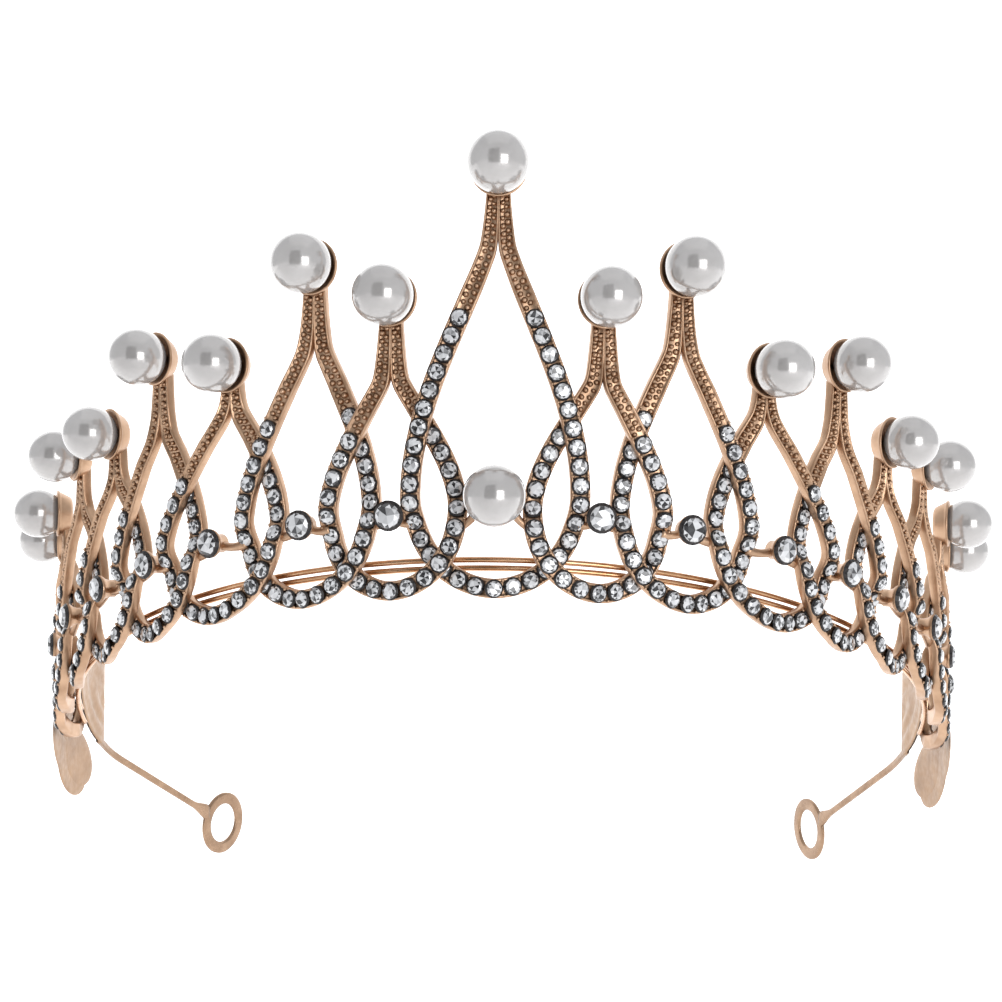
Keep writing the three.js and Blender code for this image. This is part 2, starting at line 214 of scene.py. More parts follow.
def add_sweep(shape, sections):
    """A closed bar through sections that each have the same number of points."""
    count = len(sections[0])
    faces = strip_faces(len(sections), count)
    faces.append(tuple(range(count)))
    last = (len(sections) - 1) * count
    faces.append(tuple(range(last + count - 1, last - 1, -1)))
    shape.add([p for section in sections for p in section], faces)


def add_lathe(shape, profile, centre, axis, segments, slot=0):
    """A profile of (radius, height) pairs turned round an axis, from one end on it to the other."""
    side = axis.orthogonal().normalized()
    up = axis.cross(side)
    points = [centre + axis * profile[0][1]]
    for radius, height in profile[1:-1]:
        for k in range(segments):
            turn = 2 * math.pi * k / segments
            spoke = side * math.cos(turn) + up * math.sin(turn)
            points.append(centre + axis * height + spoke * radius)
    points.append(centre + axis * profile[-1][1])
    rings = len(profile) - 2
    faces = [tuple(1 + i for i in face) for face in strip_faces(rings, segments)]
    last = 1 + (rings - 1) * segments
    for k in range(segments):
        following = (k + 1) % segments
        faces.append((0, 1 + following, 1 + k))
        faces.append((len(points) - 1, last + k, last + following))
    shape.add(points, faces, slot)


def add_bead(shape, centre, axis, radius, shade_disc=0):
    """A small ball with its foot sunk in the metal, on a round disc of the second material, painted
    shade, when the last argument gives the disc's size as a share of the bead's radius."""
    profile = [(0, radius)]
    for step in range(1, 4):
        turn = math.radians(100) * step / 3
        profile.append((radius * math.sin(turn), radius * math.cos(turn)))
    profile.append((0, -0.4 * radius))
    add_lathe(shape, profile, centre, axis, 8)
    if shade_disc:
        disc = [(0, 0.12), (shade_disc * radius, 0.12), (shade_disc * radius, -0.2), (0, -0.2)]
        add_lathe(shape, disc, centre, axis, 10, 1)


def add_tube(shape, points, radii, segments=10):
    """A round bar through points, with a radius at each."""
    sections = []
    for i, point in enumerate(points):
        ahead = (points[min(i + 1, len(points) - 1)] - points[max(i - 1, 0)]).normalized()
        side = ahead.cross(Vector((0, 0, 1))).normalized()
        up = side.cross(ahead)
        turns = [2 * math.pi * k / segments for k in range(segments)]
        sections.append([point + (side * math.cos(t) + up * math.sin(t)) * radii[i] for t in turns])
    add_sweep(shape, sections)


# ---------- the path of a leg ----------
# A leg narrows a little on the way to the stem, and then to the cup.
NARROWING_TO_STEM = 0.07
NARROWING_LENGTH = 6
NARROWING_OF_STEM = 0.32


def leg_point(loop, t):
    half = loop.width / 2
    if t < BELLY_SHARE:
        turn = (t / BELLY_SHARE - 1) * math.pi / 2
        return half * math.cos(turn), loop.belly * (1 + math.sin(turn))
    rise = (t - BELLY_SHARE) / (1 - BELLY_SHARE)
    taper = math.cos(rise * math.pi / 2) ** 1.5
    return half * taper, loop.belly + rise * (loop.close - loop.belly)


def lean(loop, h):
    return (loop.tip - loop.at) * smooth((h - loop.belly) / (loop.close - loop.belly))


def share_where_legs_meet(loop):
    cosine = ((LEG_WIDTH + CLEARANCE) / loop.width) ** (1 / 1.5)
    return BELLY_SHARE + (1 - BELLY_SHARE) * 2 * math.acos(cosine) / math.pi


def weave(loop, side, x, h):
    across = min(1, x / (loop.width / 6))
    level = 2 * smooth((h - WEAVE_TURN_START) / WEAVE_TURN_LENGTH) - 1
    facing = 1 if loop is CENTRE_LOOP else side
    return WEAVE * facing * across * level


class Leg:
    """One leg from the middle of the loop's foot to the pearl's cup, measured along its length."""

    STEPS = 160
    STEM_STEPS = 24

    def __init__(self, loop, sign, side):
        self.loop, self.sign, self.side = loop, sign, side
        meet = share_where_legs_meet(loop)
        self.path = []
        meet_height = leg_point(loop, meet)[1]
        for i in range(self.STEPS + 1):
            x, h = leg_point(loop, meet * i / self.STEPS)
            width = 1 - NARROWING_TO_STEM * smooth((h - meet_height) / NARROWING_LENGTH + 1)
            self.path.append((x, h, width, weave(loop, side, x, h)))
        x0, h0, _, weave0 = self.path[-1]
        slope = (x0 - self.path[-2][0]) / (h0 - self.path[-2][1])
        height = loop.peak - CUP_BACK_RADIUS - h0
        for i in range(1, self.STEM_STEPS + 1):
            share = i / self.STEM_STEPS
            spread = (x0 - STEM_WIDTH / 4) * (1 - share) ** 2
            ease = (slope * height + 2 * (x0 - STEM_WIDTH / 4)) * share * (1 - share) ** 6
            x = STEM_WIDTH / 4 + spread + ease
            width = 1 - NARROWING_TO_STEM - NARROWING_OF_STEM * share
            self.path.append((x, h0 + height * share, width, weave0 * (1 - smooth(2 * share))))
        self.lengths = [0]
        for a, b in zip(self.path, self.path[1:]):
            self.lengths.append(self.lengths[-1] + math.hypot(b[0] - a[0], b[1] - a[1]))
        self.length = self.lengths[-1]

    def middle(self, d):
        """The distance from the loop's axis, the height, the width share and the weave at d."""
        d = min(max(d, 0), self.length)
        i = min(bisect_right(self.lengths, d), len(self.path) - 1)
        span = self.lengths[i] - self.lengths[i - 1]
        share = (d - self.lengths[i - 1]) / span
        return [a + (b - a) * share for a, b in zip(self.path[i - 1], self.path[i])]

    def distance_to(self, height):
        """The distance along the leg where it first reaches a height."""
        return next(d for d, place in zip(self.lengths, self.path) if place[1] >= height)

    def point(self, d, across, out):
        x, h, width, offset = self.middle(d)
        before, after = self.middle(d - 0.05), self.middle(d + 0.05)
        step = Vector((after[0] - before[0], after[1] - before[1])).normalized()
        if d < 0.05:
            step = Vector((1, 0))
        x -= step.y * across * width
        h += step.x * across * width
        s = self.loop.at + self.side * x + lean(self.loop, h)
        return on_crown(self.sign * s, h, out + offset)

    def facing(self, d):
        """The direction straight out of the leg's face."""
        ahead = self.point(d + 0.3, 0, 0) - self.point(max(d - 0.3, 0), 0, 0)
        across = self.point(d, 0.5, 0) - self.point(d, -0.5, 0)
        normal = ahead.cross(across).normalized()
        s = self.sign * (self.loop.at + self.side * self.middle(d)[0])
        return normal if normal.dot(outward(s)) > 0 else -normal


# ---------- cut stones ----------
# Painted reflections on crystal facets: half are painted light, a fifth mid grey and the rest dark, each
# at a random level within its band.
PAINTED_REFLECTION_BANDS = [(0.5, 0.8, 1.0), (0.7, 0.4, 0.7), (1.0, 0.0, 0.12)]
FACETS = 8


def painted_facet_reflection(chance):
    pick = chance.random()
    for limit, low, high in PAINTED_REFLECTION_BANDS:
        if pick <= limit:
            return chance.uniform(low, high)
    return 0


def add_brilliant(shape, centre, axis, radius, chance):
    """A round brilliant: table, stars, kites and girdle facets painted with reflections, over a rim and
    a point painted near black as shade.
    """
    side = axis.orthogonal().normalized()
    up = axis.cross(side)
    spin = chance.uniform(0, math.pi)

    def ring(count, r, height, half_turn):
        turns = [2 * math.pi * (k + half_turn) / count + spin for k in range(count)]
        spokes = [side * math.cos(t) + up * math.sin(t) for t in turns]
        return [centre + axis * (height * radius) + spoke * (r * radius) for spoke in spokes]

    n = FACETS
    points = [centre + axis * 0.36 * radius]
    points += ring(n, 0.55, 0.36, 0) + ring(n, 0.74, 0.26, 0.5) + ring(2 * n, 0.8, 0.18, 0)
    points += ring(2 * n, 1, -0.02, 0) + [centre - axis * 0.75 * radius]
    table, star, girdle, rim, tip = 1, 1 + n, 1 + 2 * n, 1 + 4 * n, 1 + 6 * n
    bright, dark = [], []
    for k in range(n):
        after = (k + 1) % n
        bright.append((0, table + k, table + after))
        bright.append((table + k, star + k, table + after))
        inner, middle, outer = girdle + 2 * k, girdle + 2 * k + 1, girdle + (2 * k + 2) % (2 * n)
        bright.append((star + k, inner, middle))
        bright.append((star + k, middle, outer))
        bright.append((table + k, inner, star + k))
        bright.append((table + after, star + k, outer))
    for k in range(2 * n):
        after = (k + 1) % (2 * n)
        dark.append((girdle + k, rim + k, rim + after, girdle + after))
        dark.append((rim + k, tip, rim + after))
    # Crown facets get painted reflection levels; the rim and point get 0 and the second material,
    # painted near-black shade.
    tones = [painted_facet_reflection(chance) for _ in bright] + [0] * len(dark)
    shape.add(points, bright + dark, [0] * len(bright) + [1] * len(dark), flat=True, tones=tones)


# ---------- materials ----------
def new_material(name):
    material = bpy.data.materials.new(name)
    material.use_nodes = True
    nodes, links = material.node_tree.nodes, material.node_tree.links
    return material, nodes, links, nodes["Principled BSDF"]


def add_noise(nodes, links, scale, detail):
    where = nodes.new("ShaderNodeTexCoord")
    noise = nodes.new("ShaderNodeTexNoise")
    noise.inputs["Scale"].default_value = scale
    noise.inputs["Detail"].default_value = detail
    links.new(where.outputs["Object"], noise.inputs["Vector"])
    return noise.outputs["Fac"]


def add_ramp(nodes, links, factor, stops):
    ramp = nodes.new("ShaderNodeValToRGB")
    while len(ramp.color_ramp.elements) < len(stops):
        ramp.color_ramp.elements.new(0.5)
    for element, (place, colour) in zip(ramp.color_ramp.elements, stops):
        element.position = place
        element.color = (*colour, 1)
    links.new(factor, ramp.inputs["Fac"])
    return ramp.outputs["Color"]


def add_range(nodes, links, factor, low, high):
    span = nodes.new("ShaderNodeMapRange")
    span.inputs["From Min"].default_value = 0.3
    span.inputs["From Max"].default_value = 0.7
    span.inputs["To Min"].default_value = low
    span.inputs["To Max"].default_value = high
    links.new(factor, span.inputs["Value"])
    return span.outputs["Result"]


def add_bump(nodes, links, shader, height, strength, distance):
    bump = nodes.new("ShaderNodeBump")
    bump.inputs["Strength"].default_value = strength
    bump.inputs["Distance"].default_value = distance
    links.new(height, bump.inputs["Height"])
    links.new(bump.outputs["Normal"], shader.inputs["Normal"])


def gold_material(name, dark, light, rough_low, rough_high, grain, metallic=1):
    """Plated metal whose colour and polish drift slowly, over a fine cast or drawn grain."""
    material, nodes, links, shader = new_material(name)
    shader.inputs["Metallic"].default_value = metallic
    drift = add_noise(nodes, links, 260, 3)
    colour = add_ramp(nodes, links, drift, [(0.3, dark), (0.7, light)])
    links.new(colour, shader.inputs["Base Color"])
    polish = add_noise(nodes, links, 900, 4)
    links.new(add_range(nodes, links, polish, rough_low, rough_high), shader.inputs["Roughness"])
    add_bump(nodes, links, shader, add_noise(nodes, links, 2600, 3), grain, 0.00006)
    return material


def pearl_material():
    material, nodes, links, shader = new_material("pearl_nacre")
    shader.inputs["Metallic"].default_value = 0.45
    shader.inputs["Coat Weight"].default_value = 0.6
    shader.inputs["Coat Roughness"].default_value = 0.06
    shader.inputs["Specular IOR Level"].default_value = 0.3
    drift = add_noise(nodes, links, 220, 3)
    colour = add_ramp(nodes, links, drift, [(0.3, (0.42, 0.405, 0.395)), (0.7, (0.48, 0.465, 0.455))])
    links.new(colour, shader.inputs["Base Color"])
    polish = add_noise(nodes, links, 500, 2)
    links.new(add_range(nodes, links, polish, 0.13, 0.19), shader.inputs["Roughness"])
    add_bump(nodes, links, shader, add_noise(nodes, links, 700, 2), 0.02, 0.0001)
    return material


def crystal_material():
    """Glass with painted reflections: each facet's colour is a painted reflection, from near black to
    light grey, at its own level.
    """
    material, nodes, links, shader = new_material("crystal_facets")
    shader.inputs["Metallic"].default_value = 0.15
    shader.inputs["Coat Weight"].default_value = 0.5
    shader.inputs["Coat Roughness"].default_value = 0.02
    painted_reflection = nodes.new("ShaderNodeAttribute")
    painted_reflection.attribute_name = "painted_reflection"
    # Painted reflection colours, from near black through grey to light grey.
    stops = [(0, (0.01, 0.01, 0.012)), (0.5, (0.25, 0.252, 0.26)), (1, (0.68, 0.685, 0.7))]
    colour = add_ramp(nodes, links, painted_reflection.outputs["Fac"], stops)
    links.new(colour, shader.inputs["Base Color"])
    polish = add_noise(nodes, links, 1500, 2)
    links.new(add_range(nodes, links, polish, 0.03, 0.1), shader.inputs["Roughness"])
    return material


def painted_dark_rim_material():
    material, nodes, links, shader = new_material("crystal_painted_dark_rim")
    shader.inputs["Specular IOR Level"].default_value = 0.25
    shade = add_noise(nodes, links, 2000, 3)
    # Painted shade: the stones' rim and point are near black, drifting a little warmer.
    stops = [(0.35, (0.006, 0.006, 0.007)), (0.75, (0.05, 0.042, 0.04))]
    links.new(add_ramp(nodes, links, shade, stops), shader.inputs["Base Color"])
    links.new(add_range(nodes, links, shade, 0.2, 0.45), shader.inputs["Roughness"])
    return material


def paper_material():
    material, nodes, links, shader = new_material("studio_paper")
    shade = add_noise(nodes, links, 30, 2)
    stops = [(0.3, (0.88, 0.88, 0.88)), (0.7, (0.9, 0.9, 0.9))]
    colour = add_ramp(nodes, links, shade, stops)
    links.new(colour, shader.inputs["Base Color"])
    # Painted light: the paper glows at its own colour, 0.3 in front of y = -0.16 m rising to 0.9 behind
    # y = -0.02 m, so its back part lights the crown from behind.
    links.new(colour, shader.inputs["Emission Color"])
    where = nodes.new("ShaderNodeTexCoord")
    split = nodes.new("ShaderNodeSeparateXYZ")
    links.new(where.outputs["Object"], split.inputs["Vector"])
    glow = add_range(nodes, links, split.outputs["Y"], 0.3, 0.9)
    glow.node.inputs["From Min"].default_value = -0.16
    glow.node.inputs["From Max"].default_value = -0.02
    links.new(glow, shader.inputs["Emission Strength"])
    shader.inputs["Roughness"].default_value = 0.9
    return material


def flag_material():
    material, nodes, links, shader = new_material("studio_flag")
    shade = add_noise(nodes, links, 30, 2)
    stops = [(0.3, (0.05, 0.05, 0.05)), (0.7, (0.07, 0.07, 0.07))]
    colour = add_ramp(nodes, links, shade, stops)
    links.new(colour, shader.inputs["Base Color"])
    links.new(colour, shader.inputs["Emission Color"])
    # Painted light: the dark flag glows faintly at its own colour.
    shader.inputs["Emission Strength"].default_value = 0.6
    return material


GOLD_CAST = gold_material("gold_cast", (0.36, 0.225, 0.142), (0.52, 0.345, 0.23), 0.28, 0.44, 0.3)
# Painted shade: a darker, more orange copy of the cast gold, on the discs round the milgrain beads'
# feet.
GOLD_PAINTED_SHADE = gold_material("gold_bead_painted_shade", (0.15, 0.07, 0.032), (0.27, 0.14, 0.072), 0.4, 0.55, 0.3)
# Painted shade: the end leaves and strap plates get a darker, more orange copy of the cast gold with
# half its metallic.
GOLD_LEAF_SHADED = gold_material(
    "gold_leaf_shaded", (0.27, 0.148, 0.068), (0.345, 0.197, 0.093), 0.3, 0.45, 0.3, 0.5)
# Painted shade: the strap tails and rings get a copy of the cast gold at two thirds of its brightness.
GOLD_STRIP_SHADED = gold_material("gold_strip", (0.24, 0.153, 0.098), (0.35, 0.232, 0.155), 0.22, 0.38, 0.15)
GOLD_WIRE = gold_material("gold_wire", (0.44, 0.235, 0.115), (0.64, 0.4, 0.245), 0.15, 0.28, 0.1)
PEARL = pearl_material()
CRYSTAL = crystal_material()
PAINTED_DARK_RIM = painted_dark_rim_material()


# ---------- loops ----------
def leg_section(leg, d):
    half = [leg.point(d, across, out) for across, out in LEG_PROFILE]
    other = [leg.point(d, -across, out) for across, out in LEG_PROFILE[-2:0:-1]]
    return half + other


def add_legs(shape, legs):
    """Both legs as one bar, down from the stem, round the foot and up again."""
    inner, outer = legs
    count = round(outer.length / LEG_STEP)
    down = [leg_section(inner, inner.length * i / count) for i in range(count, 0, -1)]
    up = [leg_section(outer, outer.length * i / count) for i in range(count + 1)]
    add_sweep(shape, down + up)


def points_of(legs):
    """Places along the middles of some legs, each with how far out the leg is woven there."""
    return [(leg.point(d, 0, 0), leg.middle(d)[3]) for leg in legs for d in range(int(leg.length))]


def is_covered(leg, d, reach, others):
    """Whether a neighbour's leg passes over this one at d."""
    here = leg.point(d, 0, 0)
    level = leg.middle(d)[3]
    return any(out > level and (there - here).length < reach for there, out in others)


def stone_places(leg, first):
    """The distances along a leg where its small stones sit. The last is at the loop's own height,
    and the pitch is the one nearest the usual pitch that fills the leg down to its foot."""
    last = leg.distance_to(leg.loop.stones)
    count = round(last / SMALL_STONE_PITCH)
    return [last * i / count for i in range(first, count + 1)]


def add_stones_on_leg(metal, stones, leg, first, others, chance):
    places = stone_places(leg, first)
    for d in places:
        if is_covered(leg, d, LEG_WIDTH / 2 + 0.2 * SMALL_STONE_RADIUS, others):
            continue
        facing = leg.facing(d)
        add_brilliant(stones, leg.point(d, 0, SMALL_STONE_OUT), facing, SMALL_STONE_RADIUS, chance)
        for row in (-PRONG_ROW, PRONG_ROW):
            gap = d + SMALL_STONE_PITCH / 2
            add_bead(metal, leg.point(gap, row, PRONG_OUT), facing, PRONG_RADIUS)
    return places[-1]


def add_beads_on_leg(metal, leg, start, others, chance):
    """Two uneven staggered rows of fine beads in the channel, each on a disc of painted shade, from the
    last stone to the cup.
    """
    d, row = start, BEAD_ROW
    while d < leg.length - 0.3:
        if not is_covered(leg, d, LEG_WIDTH / 2, others):
            across = row + chance.uniform(-BEAD_STRAY, BEAD_STRAY)
            radius = BEAD_RADIUS * chance.uniform(0.7, 1.1)
            add_bead(metal, leg.point(d, across, BEAD_OUT), leg.facing(d), radius, BEAD_SHADE_DISC)
        d += BEAD_PITCH * chance.uniform(0.85, 1.15)
        row = -row


CUP_PROFILE = [
    (0, -0.8), (2.2, -0.8), (2.5, -0.66), (2.8, -0.35), (3.2, 0.4), (3.52, 1.02), (3.58, 1.16),
    (3.7, 1.22), (3.8, 1.38), (3.8, 1.58), (3.73, 1.68), (3.6, 1.7), (3.4, 1.6), (3.1, 1.36),
    (2.4, 0.86), (1.6, 0.52), (0.5, 0.26), (0.5, 3), (0, 3),
]


def add_cup(shape, s, h, proud=0):
    axis = outward(s)
    add_lathe(shape, CUP_PROFILE, on_crown(s, h, proud), axis, 40)


SEAT_PROFILE = [
    (0, -0.8), (1.2, -0.8), (1.32, -0.6), (1.3, 0.3), (1.5, 0.95), (1.88, 1.45), (2.0, 1.65),
    (2.02, 1.98), (1.94, 2.06), (1.84, 1.98), (1.4, 1.5), (0, 0.7),
]


def add_crystal_seat(shape, s):
    add_lathe(shape, SEAT_PROFILE, on_crown(s, STONE_HEIGHT, 0), outward(s), 32)


def add_arm(shape, start, end, sag, radius=0.5):
    """A short curved strut between two places, thicker at its ends."""
    points, radii = [], []
    for i in range(9):
        share = i / 8
        bow = 4 * share * (1 - share)
        points.append(start.lerp(end, share) - Vector((0, 0, sag * bow)))
        radii.append(radius * (1.35 - 0.35 * bow))
    add_tube(shape, points, radii)


def make_loop(loop, sign, neighbours, chance):
    metal, stones = Shape(), Shape()
    legs = [Leg(loop, sign, -1), Leg(loop, sign, 1)]
    others = points_of(
        [Leg(other, sign * turn, side) for other, turn in neighbours for side in (-1, 1)])
    add_legs(metal, legs)
    for leg, first in zip(legs, (1, 0)):
        last = add_stones_on_leg(metal, stones, leg, first, others, chance)
        add_beads_on_leg(metal, leg, last + SMALL_STONE_RADIUS + BEAD_RADIUS, others, chance)
    add_cup(metal, sign * loop.tip, loop.peak)
    return metal, stones


def neighbours_of(index):
    """The loops beside side loop number index, each with 1, or -1 if it is on the other side."""
    found = []
    found.append((CENTRE_LOOP if index == 0 else SIDE_LOOPS[index - 1], 1))
    if index + 1 < len(SIDE_LOOPS):
        found.append((SIDE_LOOPS[index + 1], 1))
    return found


def make_loops():
    chance = random.Random(7)
    first = SIDE_LOOPS[0]
    metal, stones = make_loop(CENTRE_LOOP, 1, [(first, 1), (first, -1)], chance)
    for sign in (-1, 1):
        add_crystal_seat(metal, sign * first.at)
        add_seat_arms(metal, sign, CENTRE_LOOP, first, SIDE_LOOPS[1])
    metal.make("casting_centre", [GOLD_CAST, GOLD_PAINTED_SHADE], "gold_casting", "loop_centre")
    stones.make("pave_centre", [CRYSTAL, PAINTED_DARK_RIM], "crystal")
    for side, sign in SIDES:
        for i, loop in enumerate(SIDE_LOOPS):
            metal, stones = make_loop(loop, sign, neighbours_of(i), chance)
            if i + 1 < len(SIDE_LOOPS):
                add_crystal_seat(metal, sign * SIDE_LOOPS[i + 1].at)
                following = SIDE_LOOPS[i + 2] if i + 2 < len(SIDE_LOOPS) else None
                add_seat_arms(metal, sign, loop, SIDE_LOOPS[i + 1], following)
            number = f"{side}_{i + 1}"
            golds = [GOLD_CAST, GOLD_PAINTED_SHADE]
            metal.make(f"casting_{number}", golds, "gold_casting", f"loop_{number}")
            stones.make(f"pave_{number}", [CRYSTAL, PAINTED_DARK_RIM], "crystal")
            make_crystal(number, sign * loop.at, chance)


def add_seat_arms(metal, sign, inner, loop, outer):
    """Struts from a crystal's seat to the leg on each side of it."""
    seat = on_crown(sign * loop.at, STONE_HEIGHT, 0.2)
    ends = [on_crown(sign * (inner.at + inner.width / 2), STONE_HEIGHT - 1, 0)]
    if outer:
        ends.append(on_crown(sign * (outer.at - outer.width / 2), STONE_HEIGHT - 1, 0))
    for end in ends:
        add_arm(metal, seat, end, 0.5, 0.6)


def make_crystal(name, s, chance):
    stone = Shape()
    centre = on_crown(s, STONE_HEIGHT, STONE_GIRDLE_OUT)
    add_brilliant(stone, centre, outward(s), STONE_RADIUS, chance)
    stone.make(f"brilliant_{name}", [CRYSTAL, PAINTED_DARK_RIM], "crystal", f"stone_{name}")


# ---------- pearls ----------
def make_pearl(name, s, h, out):
    """A ball with a drilled hole at its back, where the peg goes in."""
    start = math.asin(PEARL_BORE / PEARL_RADIUS)
    profile = [(0, -0.4), (PEARL_BORE * 0.98, -0.4)]
    for i in range(36):
        turn = start + (math.pi - start) * i / 36
        profile.append((PEARL_RADIUS * math.sin(turn), -PEARL_RADIUS * math.cos(turn)))
    profile.append((0, PEARL_RADIUS))
    ball = Shape()
    add_lathe(ball, profile, on_crown(s, h, out), outward(s), 64)
    ball.make(f"nacre_{name}", [PEARL], "pearl", f"pearl_{name}")


def make_pearls():
    make_pearl("top", 0, CENTRE_LOOP.peak, PEARL_OUT)
    make_pearl("centre", 0, CENTRE_PEARL_HEIGHT, PEARL_OUT + CENTRE_PEARL_PROUD)
    for side, sign in SIDES:
        for i, loop in enumerate(SIDE_LOOPS):
            make_pearl(f"{side}_{i + 1}", sign * loop.tip, loop.peak, PEARL_OUT)


def make_centre_seat():
    seat = Shape()
    add_cup(seat, 0, CENTRE_PEARL_HEIGHT, CENTRE_PEARL_PROUD)
    inner_leg = SIDE_LOOPS[0].at - SIDE_LOOPS[0].width / 2
    for sign in (-1, 1):
        start = on_crown(sign * 2.4, CENTRE_PEARL_HEIGHT - 2.2, 1)
        end = on_crown(sign * inner_leg, CENTRE_PEARL_HEIGHT - 4.2, 0.4)
        add_arm(seat, start, end, 0.4, 0.5)
    seat.make("centre_cup", [GOLD_CAST], "gold_casting", "centre_pearl_seat")


# ---------- band wires ----------
def plate_front(h):
    share = (h - PLATE_FOOT - PLATE_HEIGHT / 2) / (PLATE_HEIGHT / 2)
    return PLATE_END - PLATE_LENGTH * math.sqrt(max(0, 1 - share * share))


def make_wires():
    gap = WIRE_RADIUS + CLEARANCE / 2
    for name, height in (("upper", WIRE_HEIGHT + gap), ("lower", WIRE_HEIGHT - gap)):
        wire = Shape()
        half = plate_front(height + WIRE_RADIUS) - 2 * CLEARANCE
        steps = 240
        points = [on_crown(half * (2 * i / steps - 1), height, WIRE_OUT) for i in range(steps + 1)]
        add_tube(wire, points, [WIRE_RADIUS] * len(points), 12)
        wire.make(f"wire_{name}", [GOLD_WIRE], "gold_strip", f"band_wire_{name}")


# ---------- end straps ----------
def strap_point(sign, along, across, out):
    """A place on the strap. Before 0 it follows the openwork, and after 0 it bends inwards and falls."""
    if along < 0:
        p = on_crown(PLATE_END + along, PLATE_FOOT + TAIL_WIDTH / 2 + across, STRAP_OUT + out)
        return Vector((sign * p.x, p.y, p.z))
    start = on_crown(PLATE_END, PLATE_FOOT + TAIL_WIDTH / 2, STRAP_OUT)
    first = PLATE_END / RADIUS - math.pi / 2
    turn_by = math.radians(TAIL_TURN["left" if sign < 0 else "right"])
    x, y, turn = start.x, start.y, first
    steps = 24
    for i in range(steps):
        turn = first + turn_by * smooth(along * (i + 0.5) / steps / (TAIL_LENGTH / 4))
        x -= math.sin(turn) * along / steps
        y += math.cos(turn) * along / steps
    z = start.z - TAIL_FALL * along + across
    return Vector((sign * (x + math.cos(turn) * out), y + math.sin(turn) * out, z))


def add_plate(shape, sign):
    """A half-disc hollowed like a spoon, with ridges that follow its round front edge."""
    rows, columns = 36, 28
    middle = PLATE_HEIGHT / 2 - TAIL_WIDTH / 2
    front, back = [], []
    for i in range(rows + 1):
        reach = i / rows
        for j in range(columns + 1):
            turn = math.pi * (j / columns - 0.5)
            along = -PLATE_LENGTH * reach * math.cos(turn)
            across = middle + PLATE_HEIGHT / 2 * reach * math.sin(turn)
            edge = max(reach, 1 - math.cos(turn) * reach * 1.0)
            thick = STRAP_DEPTH / 2 * math.sqrt(max(0, 1 - edge ** 10))
            ridge = 0.16 * math.sin(5 * math.pi * reach) * (1 - reach ** 6) * smooth(-along / 3)
            front.append(strap_point(sign, min(along, -1e-4), across, thick))
            back.append(strap_point(sign, min(along, -1e-4), across, -thick - 0.25 + ridge))
    width = columns + 1
    faces = strip_faces(rows + 1, width, closed_columns=False)
    for points in (front, back):
        shape.add(points, faces, 1)


def rounded_section(place, half_across, half_out, corners=12):
    """The points of an oval-cornered section, made by place(across, out)."""
    points = []
    for k in range(corners):
        turn = 2 * math.pi * (k + 0.5) / corners
        c, s = math.cos(turn), math.sin(turn)
        across = math.copysign(abs(c) ** 0.5, c) * half_across
        out = math.copysign(abs(s) ** 0.5, s) * half_out
        points.append(place(across, out))
    return points


def add_tail(shape, sign):
    """The narrow strip from the plate to the ring, which widens where it joins the ring."""
    end = TAIL_LENGTH - RING_HOLE - 0.6
    steps = 60
    sections = []
    for i in range(steps + 1):
        along = -3 + (end + 3) * i / steps
        spread = smooth((along - end + 5) / 5)
        half = TAIL_WIDTH / 2 + 1.1 * spread
        sections.append(rounded_section(
            lambda across, out: strap_point(sign, along, across, out), half, STRAP_DEPTH / 2))
    add_sweep(shape, sections)


def add_ring(shape, sign):
    middle = strap_point(sign, TAIL_LENGTH, 0, 0)
    outwards = strap_point(sign, TAIL_LENGTH, 0, 1) - middle
    ahead = outwards.cross(Vector((0, 0, 1))).normalized()
    mean, half = (RING_RADIUS + RING_HOLE) / 2, (RING_RADIUS - RING_HOLE) / 2
    segments = 72
    points = []
    corners = 12
    for k in range(segments):
        turn = 2 * math.pi * k / segments
        spoke = ahead * math.cos(turn) + Vector((0, 0, 1)) * math.sin(turn)
        points += rounded_section(
            lambda across, out: middle + spoke * (mean + across) + outwards * out,
            half, STRAP_DEPTH / 2, corners)
    shape.add(points, strip_faces(segments, corners, closed_rows=True))


def make_straps():
    for side, sign in SIDES:
        strap = Shape()
        add_plate(strap, sign)
        add_tail(strap, sign)
        add_ring(strap, sign)
        strap.make(f"strap_{side}", [GOLD_STRIP_SHADED, GOLD_LEAF_SHADED], "gold_strip", f"end_strap_{side}")


# ---------- end leaves ----------
# Plain petals that overlap like scales: along, height, half length, half height, distance out.
PETALS = [
    (117, 4.2, 7.5, 3.9, 2.25), (115.4, -0.3, 8.6, 5.6, 2.4), (120.6, -3.3, 8.6, 4.9, 2.5),
    (123.6, -0.2, 8.2, 5.6, 2.3),
]
PETAL_FRONT = 0.35
PETAL_BACK = -0.3


def add_petal(shape, sign, petal):
    along, height, half_long, half_high, out = petal
    rings, segments = 10, 32
    for face in (1, -1):
        rise = PETAL_FRONT if face > 0 else PETAL_BACK
        points = [on_crown(sign * along, height, out + rise)]
        for i in range(1, rings + 1):
            reach = i / rings
            dome = math.sqrt(max(0, 1 - reach ** 3))
            level = out + rise * dome
            for k in range(segments):
                turn = 2 * math.pi * k / segments
                s = along + half_long * reach * math.cos(turn)
                h = height + half_high * reach * math.sin(turn)
                points.append(on_crown(sign * s, h, level))
        faces = [tuple(1 + n for n in quad) for quad in strip_faces(rings, segments)]
        faces += [(0, 1 + k, 1 + (k + 1) % segments) for k in range(segments)]
        shape.add(points, faces)


def make_leaves():
    for side, sign in SIDES:
        leaf = Shape()
        for petal in PETALS:
            add_petal(leaf, sign, petal)
        leaf.make(f"petals_{side}", [GOLD_LEAF_SHADED], "gold_casting", f"end_leaf_{side}")


# ---------- studio ----------
FLOOR_DROP = 0.012
CAMERA_PLACE = (0.0036, -0.2583, 0.0481)
CAMERA_TURN = (90, -0.65, 0.9)
CAMERA_LENS = 49.58


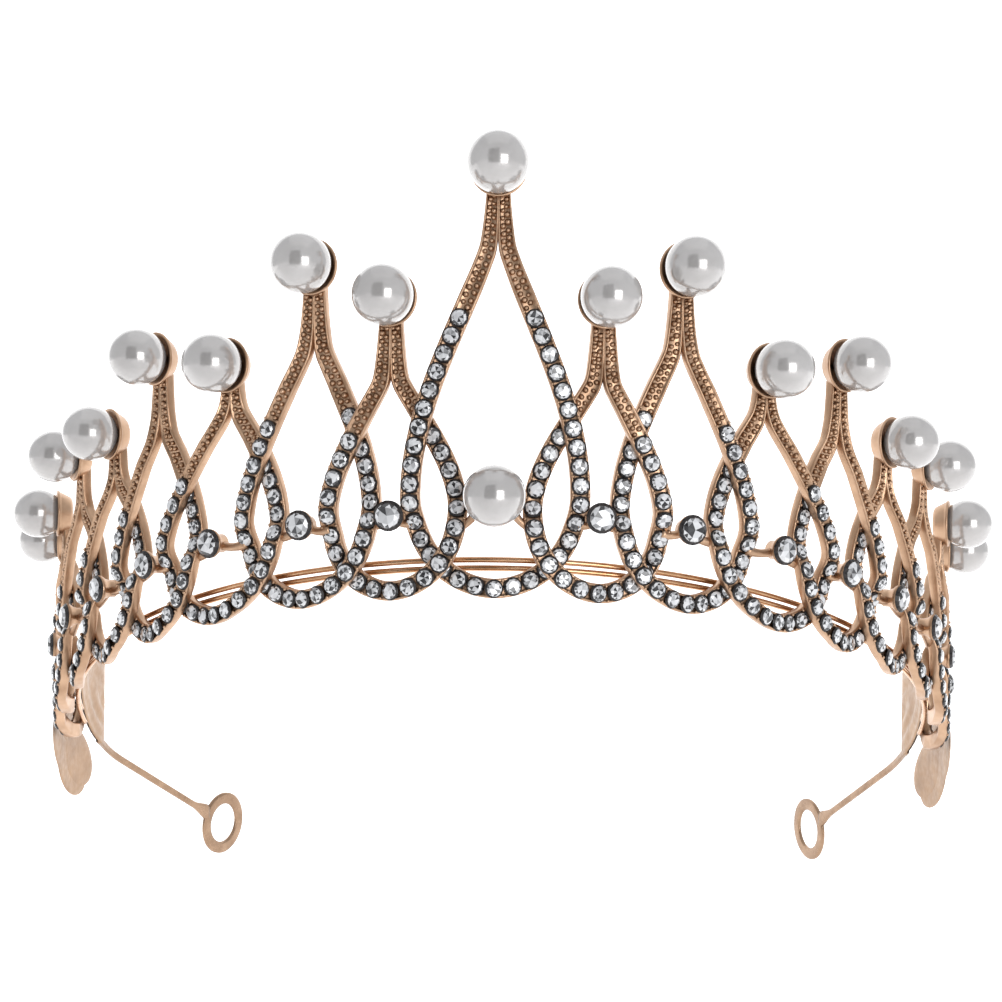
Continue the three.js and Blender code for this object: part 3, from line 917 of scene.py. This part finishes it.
def make_panel(name, corners, material):
    mesh = bpy.data.meshes.new(name)
    mesh.from_pydata(corners, [], [(0, 1, 2, 3)])
    mesh.materials.append(material)
    panel = bpy.data.objects.new(name, mesh)
    bpy.context.scene.collection.objects.link(panel)
    return panel


def make_sweep_backdrop(floor):
    """A floor that curves up into a wall behind the object, and glows as painted light, most at the
    back.
    """
    outline = [(-1.2, floor), (0.5, floor)]
    bend = 0.35
    for i in range(1, 17):
        turn = math.pi / 2 * i / 16
        outline.append((0.5 + bend * math.sin(turn), floor + bend * (1 - math.cos(turn))))
    outline.append((0.5 + bend, floor + 1.6))
    points = [Vector((x, y, z)) for y, z in outline for x in (-1.6, 1.6)]
    mesh = bpy.data.meshes.new("backdrop")
    mesh.from_pydata(points, [], strip_faces(len(outline), 2, closed_columns=False))
    mesh.polygons.foreach_set("use_smooth", [True] * len(mesh.polygons))
    mesh.materials.append(paper_material())
    backdrop = bpy.data.objects.new("backdrop", mesh)
    bpy.context.scene.collection.objects.link(backdrop)


def add_light(name, place, target, width, height, energy):
    light = bpy.data.lights.new(name, "AREA")
    light.shape = "RECTANGLE"
    light.size, light.size_y, light.energy = width, height, energy
    lamp = bpy.data.objects.new(name, light)
    lamp.location = place
    lamp.rotation_euler = (Vector(target) - Vector(place)).to_track_quat("-Z", "Y").to_euler()
    bpy.context.scene.collection.objects.link(lamp)


def make_studio():
    low = min(corner[2] for corner in cad_box)
    make_sweep_backdrop(low - FLOOR_DROP)
    flag = [(-0.3, -0.5, -0.03), (0.04, -0.5, -0.03), (0.04, -0.5, 0.4), (-0.3, -0.5, 0.4)]
    make_panel("dark_flag", flag, flag_material())
    add_light("softbox_front", (0.17, -0.46, 0.075), (0, 0, 0.06), 0.19, 0.22, 0.62)
    add_light("softbox_top", (0, -0.1, 0.9), (0, 0, 0), 0.9, 0.9, 0.6)
    world = bpy.data.worlds.new("studio_light")
    world.use_nodes = True
    world.node_tree.nodes["Background"].inputs["Color"].default_value = (0.95, 0.97, 1, 1)
    world.node_tree.nodes["Background"].inputs["Strength"].default_value = 0.9
    bpy.context.scene.world = world
    bpy.context.scene.view_settings.view_transform = "Standard"


def make_camera():
    camera = bpy.data.cameras.new("camera")
    camera.lens = CAMERA_LENS
    camera.sensor_width = 36
    camera.clip_start = 0.01
    holder = bpy.data.objects.new("camera", camera)
    holder.location = CAMERA_PLACE
    holder.rotation_euler = [math.radians(turn) for turn in CAMERA_TURN]
    bpy.context.scene.collection.objects.link(holder)
    bpy.context.scene.camera = holder


make_camera()
make_loops()
make_pearls()
make_centre_seat()
make_wires()
make_straps()
make_leaves()
make_studio()
